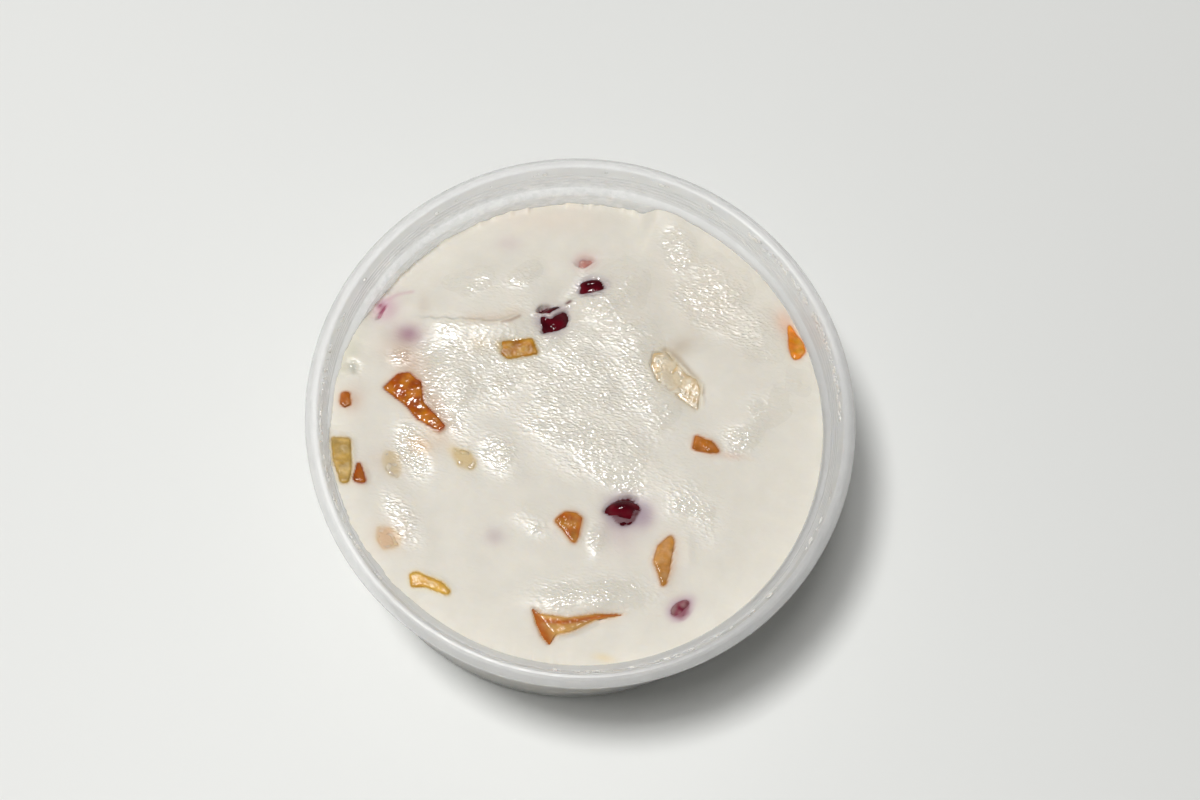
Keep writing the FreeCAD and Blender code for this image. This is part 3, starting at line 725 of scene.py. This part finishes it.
def wall_radius(u, v):
    """Where the cream's surface meets the wall, in the direction of each point."""
    azimuth = np.arctan2(v, u)
    radius = np.full(u.shape, BODY_TOP_R)
    for _ in range(4):
        x, y = radius * np.cos(azimuth), radius * np.sin(azimuth)
        height = level(x, y) + shore(x, y)
        radius = inner_r(height)
    return radius + INTO_WALL


def cream_surface(x, y):
    """Height of the cream: wrinkled, drawn up to the fruit, and just under it where it is bare."""
    inside_r = BODY_TOP_R - WALL
    z = level(x, y) + shore(x, y) + wrinkles(x, y) * smooth((inside_r - np.hypot(x, y)) / CALM_AT_WALL)
    drawn = smooth(sample(fruit_weight, x, y) / 0.5)
    z = z + np.maximum(0, sample(fruit_height, x, y) + LAP - z) * drawn
    top = sample(top_height, x, y)
    near = smooth(sample(near_fruit, x, y) / 0.5)
    z = z + np.maximum(0, top + LAP - z) * near
    z = z + (top + LAP - z) * sample(hugged, x, y) * near
    return z + (np.minimum(z, top - BARE_DIP) - z) * sample(bare, x, y) + sample(strand, x, y)


def make_cream():
    """The cream as one closed piece: its top, its side and its foot on the floor."""
    u, v, quads, edge = disc_grid(CREAM_COLUMNS)
    reach = wall_radius(u, v)
    x, y = u * reach, v * reach
    z = cream_surface(x, y)
    edge_angle = np.arctan2(y[edge], x[edge])
    edge_z = z[edge]

    def ring(radius, height):
        return np.stack([radius * np.cos(edge_angle), radius * np.sin(edge_angle),
                         np.broadcast_to(height, edge_angle.shape)], -1)

    corner = BASE_CORNER - WALL
    bottom = WALL + corner
    rings = []
    for k in range(1, SIDE_RINGS + 1):
        ring_z = edge_z + (bottom - edge_z) * k / SIDE_RINGS
        rings.append(ring(inner_r(ring_z) + INTO_WALL, ring_z))
    foot_out = BODY_BASE_R - WALL
    for share in (0.5, 1.0):
        turn = share * math.pi / 2
        rings.append(ring(foot_out - corner * (1 - math.cos(turn)) + INTO_WALL,
                          bottom - corner * math.sin(turn) - INTO_FLOOR))
    inner_foot = BODY_BASE_R - BASE_CORNER - FOOT_WIDTH - FOOT_BEVEL
    for radius in (inner_foot, inner_foot * 0.5):
        rings.append(ring(radius, FOOT_LIFT + WALL - INTO_FLOOR))

    faces = quads.tolist()
    previous = edge
    count = len(z)
    for points in rings:
        current = np.arange(count, count + len(points))
        faces += np.stack([previous, np.roll(previous, -1), np.roll(current, -1), current], -1).tolist()
        previous = current
        count += len(points)
    faces.append(previous.tolist())
    piece = mesh_object("cream_look", np.concatenate([np.stack([x, y, z], -1)] + rings), faces)
    outward = bmesh.new()
    outward.from_mesh(piece.data)
    bmesh.ops.recalc_face_normals(outward, faces=outward.faces)
    outward.to_mesh(piece.data)
    outward.free()
    points = coordinates(piece)
    set_colours(piece, "tint", cream_colours(points))
    set_values(piece, "wet", wrinkled(points[:, 0], points[:, 1]) * (points[:, 2] > WET_ABOVE))
    return piece


cream = make_cream()


# ------------------------------------------------------------ materials ----
# Films of cream on the inner wall: azimuths, radii and heights at which they end.
SMEAR_FROM, SMEAR_TO = math.radians(-84), math.radians(12)
SMEAR_RADII = (55.2, 55.7)
SMEAR_HEIGHTS = (50.5, 54.5)
TUB_ALPHA, SMEARED_ALPHA = 0.5, 0.36
MOULD_RINGS = 2600         # fine rings in the plastic for each metre of radius
MOULD_RELIEF = 0.00002     # in metres, as below
CREAM_RIDGES = 1950        # finest wrinkles for each metre
CREAM_RELIEF = 0.00037
DRY_ROUGHNESS, WET_ROUGHNESS = 0.6, 0.06
FRUIT_PORES = 1300         # bumps on fruit for each metre
NOISE_SPAN = (0.3, 0.7)    # where most of a noise texture's values lie


def new_material(name):
    """A node material, with its node tree and its Principled shader."""
    material = bpy.data.materials.new(name)
    material.use_nodes = True
    tree = material.node_tree
    return material, tree, tree.nodes["Principled BSDF"]


def set_inputs(node, values):
    for key, value in values.items():
        node.inputs[key].default_value = value


def node_of(tree, kind, inputs=None, **settings):
    """A new node with its properties and unlinked inputs."""
    made = tree.nodes.new(kind)
    for key, value in settings.items():
        setattr(made, key, value)
    set_inputs(made, inputs or {})
    return made


def placed(tree, stretch, turn):
    """The object's own coordinates, stretched and turned about its upright axis."""
    place = node_of(tree, "ShaderNodeTexCoord")
    mapping = node_of(tree, "ShaderNodeMapping", {"Scale": stretch, "Rotation": (0, 0, turn)})
    tree.links.new(place.outputs["Object"], mapping.inputs["Vector"])
    return mapping.outputs["Vector"]


def noise_at(tree, place, scale, detail, roughness=0.5):
    texture = node_of(tree, "ShaderNodeTexNoise", {"Scale": scale, "Detail": detail, "Roughness": roughness})
    tree.links.new(place, texture.inputs["Vector"])
    return texture.outputs["Fac"]


def placed_noise(tree, scale, detail=3.0, roughness=0.5, stretch=(1, 1, 1), turn=0.0):
    """Noise over the object's own coordinates; scale is in features for each metre."""
    return noise_at(tree, placed(tree, stretch, turn), scale, detail, roughness)


def leaning_noise(tree, scale, stretch, turn, lean):
    """Noise whose ridges lean over along their second axis: long gentle faces, short steep ones."""
    place = placed(tree, [part * scale for part in stretch], turn)
    shift = node_of(tree, "ShaderNodeCombineXYZ")
    tree.links.new(combined(tree, "MULTIPLY", noise_at(tree, place, 1.0, 0.0), -lean), shift.inputs["Y"])
    moved = node_of(tree, "ShaderNodeVectorMath", operation="ADD")
    tree.links.new(place, moved.inputs[0])
    tree.links.new(shift.outputs["Vector"], moved.inputs[1])
    return noise_at(tree, moved.outputs["Vector"], 1.0, 0.6)


def remapped(tree, value, from_low, from_high, to_low, to_high):
    """A value's range moved to another, and held there beyond its ends."""
    ranged = node_of(tree, "ShaderNodeMapRange", {"From Min": from_low, "From Max": from_high,
                                                  "To Min": to_low, "To Max": to_high})
    tree.links.new(value, ranged.inputs["Value"])
    return ranged.outputs["Result"]


def spread(tree, noisy, low, high):
    """Most of a noise's values, from low to high."""
    return remapped(tree, noisy, *NOISE_SPAN, low, high)


def combined(tree, operation, first, second):
    """A Math node; each side is a socket or a number."""
    made = node_of(tree, "ShaderNodeMath", operation=operation)
    for socket, value in zip(made.inputs, (first, second)):
        if isinstance(value, (int, float)):
            socket.default_value = value
        else:
            tree.links.new(value, socket)
    return made.outputs[0]


def bumped(tree, shader, height, distance):
    bump = node_of(tree, "ShaderNodeBump", {"Distance": distance})
    tree.links.new(height, bump.inputs["Height"])
    tree.links.new(bump.outputs["Normal"], shader.inputs["Normal"])


def painted(tree, shader, factor):
    """Gives a shader the mesh's own colours, made lighter or darker by a factor."""
    tint = node_of(tree, "ShaderNodeAttribute", attribute_name="tint").outputs["Color"]
    tree.links.new(shaded(tree, tint, factor), shader.inputs["Base Color"])


def shaded(tree, colour, factor):
    """A colour made lighter or darker by a factor."""
    scale = node_of(tree, "ShaderNodeVectorMath", operation="SCALE")
    tree.links.new(colour, scale.inputs["Vector"])
    tree.links.new(factor, scale.inputs["Scale"])
    return scale.outputs["Vector"]


def cream_material():
    """Soft and cloudy, with glinting ridges where the attribute "wet" says so."""
    material, tree, shader = new_material("cream_surface")
    painted(tree, shader, spread(tree, placed_noise(tree, 260, 4), 0.975, 1.02))
    wet = node_of(tree, "ShaderNodeAttribute", attribute_name="wet").outputs["Fac"]
    tree.links.new(remapped(tree, wet, 0.05, 0.35, DRY_ROUGHNESS, WET_ROUGHNESS), shader.inputs["Roughness"])
    ridged = leaning_noise(tree, CREAM_RIDGES, (0.5, 1.0, 1.0), -math.radians(WRINKLE_TURN), 0.8)
    coarse = combined(tree, "MULTIPLY", placed_noise(tree, 1000, 1), 0.4)
    share = combined(tree, "ADD", combined(tree, "MULTIPLY", wet, 0.9), 0.1)
    relief = combined(tree, "MULTIPLY", combined(tree, "ADD", ridged, coarse), share)
    bumped(tree, shader, relief, CREAM_RELIEF)
    set_inputs(shader, {"Subsurface Weight": 0.9, "Subsurface Radius": (1.0, 0.85, 0.65),
                        "Subsurface Scale": 0.0012, "IOR": 1.42})
    return material


def fruit_material(name, roughness, fibre_scale, subsurface, relief, sheen=0.5):
    """Moist flesh or skin: cloudy, with faint fibres."""
    material, tree, shader = new_material(name)
    cloudy = spread(tree, placed_noise(tree, fibre_scale * 0.35, 3), 0.75, 1.2)
    fibres = placed_noise(tree, fibre_scale, 3, 0.6, stretch=(0.4, 1.0, 1.0), turn=0.7)
    painted(tree, shader, combined(tree, "MULTIPLY", cloudy, spread(tree, fibres, 0.88, 1.1)))
    bumped(tree, shader, placed_noise(tree, FRUIT_PORES, 0.5), relief)
    set_inputs(shader, {"Roughness": roughness, "Specular IOR Level": sheen, "IOR": 1.38,
                        "Subsurface Weight": subsurface, "Subsurface Radius": (1.0, 0.6, 0.3),
                        "Subsurface Scale": 0.0006})
    return material


def tub_material():
    """Translucent plastic: faint rings of the mould, and films of cream inside on the far left."""
    material, tree, shader = new_material("tub_polypropylene")

    def product(first, second):
        return combined(tree, "MULTIPLY", first, second)

    place = node_of(tree, "ShaderNodeTexCoord")
    parts = node_of(tree, "ShaderNodeSeparateXYZ")
    tree.links.new(place.outputs["Object"], parts.inputs[0])
    x, y, z = (parts.outputs[axis] for axis in "XYZ")
    radius = combined(tree, "SQRT", combined(tree, "ADD", product(x, x), product(y, y)), 0)
    azimuth = combined(tree, "ARCTAN2", x, y)
    smeared = product(remapped(tree, azimuth, SMEAR_FROM, SMEAR_FROM + 0.3, 0, 1),
                      remapped(tree, azimuth, SMEAR_TO - 0.25, SMEAR_TO, 1, 0))
    for where, (start, end) in ((radius, SMEAR_RADII), (z, SMEAR_HEIGHTS)):
        smeared = product(smeared, remapped(tree, where, start * MM, end * MM, 1, 0))
    blots = placed_noise(tree, 150, 5, 0.6, stretch=(1.0, 1.0, 1.6))
    smeared = product(smeared, remapped(tree, blots, 0.40, 0.56, 0, 1))
    tree.links.new(remapped(tree, smeared, 0, 1, TUB_ALPHA, SMEARED_ALPHA), shader.inputs["Alpha"])
    clear = node_of(tree, "ShaderNodeRGB")
    clear.outputs[0].default_value = (0.965, 0.972, 0.965, 1)
    grain = spread(tree, placed_noise(tree, 90, 3), 0.95, 1.0)
    tree.links.new(shaded(tree, clear.outputs[0], grain), shader.inputs["Base Color"])
    haze = spread(tree, placed_noise(tree, 120, 4), 0.28, 0.36)
    tree.links.new(haze, shader.inputs["Transmission Weight"])
    tree.links.new(spread(tree, placed_noise(tree, 300, 2), 0.15, 0.24), shader.inputs["Roughness"])
    rings = node_of(tree, "ShaderNodeTexNoise", {"Scale": MOULD_RINGS, "Detail": 1.0}, noise_dimensions="1D")
    tree.links.new(radius, rings.inputs["W"])
    wavy = product(product(placed_noise(tree, 1100, 2), smeared), 4.0)
    bumped(tree, shader, combined(tree, "ADD", rings.outputs["Fac"], wavy), MOULD_RELIEF)
    set_inputs(shader, {"Subsurface Weight": 0.85, "Subsurface Radius": (1.0, 1.0, 1.0),
                        "Subsurface Scale": 0.003, "IOR": 1.49})
    return material


def droplet_material():
    material, _, shader = new_material("whey_droplets")
    set_inputs(shader, {"Base Color": (0.90, 0.89, 0.86, 1), "Roughness": 0.06,
                        "Transmission Weight": 0.6, "IOR": 1.38})
    return material


# -------------------------------------------------------- fruit's colours --
def colour_fruit(node, piece):
    """Paints a piece in its two flesh colours, with the second as painted shade along streaks on pieces that
    have them, and a film of cream where it is veiled.
    """
    first, second, veil = (np.array(part) for part in flesh_of(node))
    points = coordinates(piece)
    x, y, z = points.T
    if node in SHADE_STREAKS:
        share = np.max([np.exp(-(from_line(x, y, line)[0] / half_width) ** 2)
                        for line, half_width in SHADE_STREAKS[node]], axis=0)[:, None]
    else:
        share = smooth(0.5 + 0.9 * noise(x / 2.4 + z / 3.0, y / 2.4, 51))[:, None]
    colours = first * (1 - share) + second * share
    patchy = np.clip(0.7 + blotches(x, y, 1.3, 53), 0, 1.6)
    veiled = np.clip(veil * patchy, 0, 0.9)[:, None]
    set_colours(piece, "tint", colours * (1 - veiled) + np.array(CREAM) * veiled)


for node, piece in pieces.items():
    colour_fruit(node, piece)

FRUIT_SURFACES = {
    "red": fruit_material("seed_skin", 0.10, 900, 0.0, 0.00004, sheen=0.2),
    "amber": fruit_material("amber_flesh", 0.12, 1100, 0.15, 0.00009, sheen=0.28),
    "tan": fruit_material("tan_flesh", 0.26, 1200, 0.15, 0.00008, sheen=0.15),
    "yellow": fruit_material("yellow_flesh", 0.32, 1000, 0.15, 0.00009),
    "pale": fruit_material("pale_flesh", 0.16, 1000, 0.25, 0.00008),
    "caramel": fruit_material("caramel_flesh", 0.18, 900, 0.15, 0.00006, sheen=0.35),
}
for node, piece in pieces.items():
    kind = node.split("_")[0]
    piece.data.materials.append(FRUIT_SURFACES[kind])
    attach(piece, "root")
    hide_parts(node)

cream.data.materials.append(cream_material())
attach(cream, "root")
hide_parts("cream")

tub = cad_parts["tub"]
tub.data.materials.clear()
tub.data.materials.append(tub_material())
tub.data.polygons.foreach_set("use_smooth", [True] * len(tub.data.polygons))


# ------------------------------------------------------------- droplets ----
# Droplets on the inner edge of the rim: azimuth from and to in degrees, and how many.
DROPLETS = [(30, 80, 120), (-142, -78, 70), (95, 175, 40), (-70, 25, 16)]
DROPLET_LOW, DROPLET_HIGH = 54.2, 56.3
DROPLET_SMALL, DROPLET_LARGE = 0.22, 0.6           # radii
DROPLET_FLAT = 0.55        # height over radius
DROPLET_LENGTHS = (0.8, 1.7)
DROPLET_SUNK = 0.15        # share of the radius that is in the wall


def between(low, high, share):
    return low + (high - low) * share


def make_droplets():
    """All droplets as one mesh of small flattened balls."""
    ball = bmesh.new()
    bmesh.ops.create_icosphere(ball, subdivisions=2, radius=1.0)
    shape = np.array([v.co for v in ball.verts])
    triangles = np.array([[v.index for v in face.verts] for face in ball.faces])
    ball.free()
    points, faces = [], []
    for zone, (start, end, count) in enumerate(DROPLETS):
        order = np.arange(count)
        along, up, size, stretch = (hashed(order, order * 0 + zone, seed) for seed in (71, 72, 73, 74))
        for k in order:
            azimuth = math.radians(between(start, end, along[k]))
            z = between(DROPLET_LOW, DROPLET_HIGH, up[k] ** 0.5)
            radius = between(DROPLET_SMALL, DROPLET_LARGE, size[k] ** 2)
            out = np.array([math.sin(azimuth), math.cos(azimuth), 0.0])
            side = np.array([out[1], -out[0], 0.0])
            length = between(*DROPLET_LENGTHS, stretch[k])
            axes = np.stack([DROPLET_FLAT * out, length * side, np.array([0.0, 0.0, 1.0])])
            centre = out * (float(inner_r(z)) - DROPLET_SUNK * radius) + np.array([0.0, 0.0, z])
            faces.append(triangles + len(points) * len(shape))
            points.append(centre + radius * shape @ axes)
    return mesh_object("whey_droplets", np.concatenate(points), np.concatenate(faces).tolist())


droplets = make_droplets()
droplets.data.materials.append(droplet_material())
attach(droplets, "root")


# ----------------------------------------------------- floor, light, camera
FLOOR_HALF = 4000.0


def make_floor():
    corners = [(side_x * FLOOR_HALF, side_y * FLOOR_HALF, 0)
               for side_x, side_y in ((-1, -1), (1, -1), (1, 1), (-1, 1))]
    floor = mesh_object("floor", corners, [(0, 1, 2, 3)])
    material, tree, shader = new_material("white_table")
    tone = spread(tree, placed_noise(tree, 3.0, 2), 0.97, 1.02)
    colour = node_of(tree, "ShaderNodeRGB")
    colour.outputs[0].default_value = (0.800, 0.810, 0.795, 1)
    tree.links.new(shaded(tree, colour.outputs[0], tone), shader.inputs["Base Color"])
    set_inputs(shader, {"Roughness": 0.6})
    floor.data.materials.append(material)


LAMP_FROM = Vector((-0.205, -0.048, 0.98)).normalized()
LAMP_AWAY = 1.4
LAMP_SIZE = 0.217
LAMP_WATTS = 16.6
WINDOW_FROM = Vector((-0.03, 0.13, 0.99)).normalized()      # only mirrored in what is wet
WINDOW_AWAY = 1.2
WINDOW_SIZE = 0.15
WINDOW_WATTS = 2.0
AMBIENT = 0.085
# The room that is seen and mirrored darkens from the horizon up.
CEILING_FROM, CEILING_TO = 0.3, 0.8
HORIZON_TONE, CEILING_TONE = 0.93, 0.22


def make_lamp(name, towards, away, size, watts):
    """A round lamp in a direction from the origin, facing it."""
    lamp = bpy.data.lights.new(name, "AREA")
    lamp.shape = "DISK"
    lamp.size = size
    lamp.energy = watts
    lamp.color = (1.0, 0.995, 0.985)
    placed = bpy.data.objects.new(name, lamp)
    placed.location = towards * away
    placed.rotation_euler = towards.to_track_quat("Z", "Y").to_euler()
    bpy.context.scene.collection.objects.link(placed)
    return placed


def make_lights():
    """The two lamps, a dim even light, and the pale room that is mirrored."""
    make_lamp("key", LAMP_FROM, LAMP_AWAY, LAMP_SIZE, LAMP_WATTS)
    window = make_lamp("window", WINDOW_FROM, WINDOW_AWAY, WINDOW_SIZE, WINDOW_WATTS)
    window.visible_diffuse = False
    window.visible_transmission = False
    world = bpy.data.worlds.new("studio")
    world.use_nodes = True
    tree = world.node_tree
    light = tree.nodes["Background"]
    set_inputs(light, {"Color": (1.0, 0.99, 0.965, 1), "Strength": AMBIENT})
    seen = node_of(tree, "ShaderNodeBackground", {"Strength": 1.0})
    way = node_of(tree, "ShaderNodeTexCoord")
    parts = node_of(tree, "ShaderNodeSeparateXYZ")
    tree.links.new(way.outputs["Generated"], parts.inputs[0])
    tone = remapped(tree, parts.outputs["Z"], CEILING_FROM, CEILING_TO, HORIZON_TONE, CEILING_TONE)
    tree.links.new(tone, seen.inputs["Color"])
    path = node_of(tree, "ShaderNodeLightPath")
    mirrored = combined(tree, "MAXIMUM", path.outputs["Is Glossy Ray"], path.outputs["Is Transmission Ray"])
    shown = combined(tree, "MAXIMUM", path.outputs["Is Camera Ray"], mirrored)
    mix = node_of(tree, "ShaderNodeMixShader")
    tree.links.new(shown, mix.inputs["Fac"])
    tree.links.new(light.outputs[0], mix.inputs[1])
    tree.links.new(seen.outputs[0], mix.inputs[2])
    tree.links.new(mix.outputs[0], tree.nodes["World Output"].inputs["Surface"])
    bpy.context.scene.world = world


CAMERA_AT = Vector((3.15, -142.90, 534.26)) * MM
CAMERA_TILT = math.radians(17.04)      # from straight down
CAMERA_ROLL = math.radians(11.28)
CAMERA_LENS, SENSOR = 70.68, 36.0


def make_camera():
    data = bpy.data.cameras.new("camera")
    data.sensor_width = SENSOR
    data.lens = CAMERA_LENS
    data.clip_start = 0.01
    camera = bpy.data.objects.new("camera", data)
    turned = Matrix.Rotation(CAMERA_TILT, 4, "X") @ Matrix.Rotation(CAMERA_ROLL, 4, "Z")
    camera.matrix_world = Matrix.Translation(CAMERA_AT) @ turned
    bpy.context.scene.collection.objects.link(camera)
    bpy.context.scene.camera = camera


make_floor()
make_lights()
make_camera()
bpy.context.scene.view_settings.view_transform = "Standard"
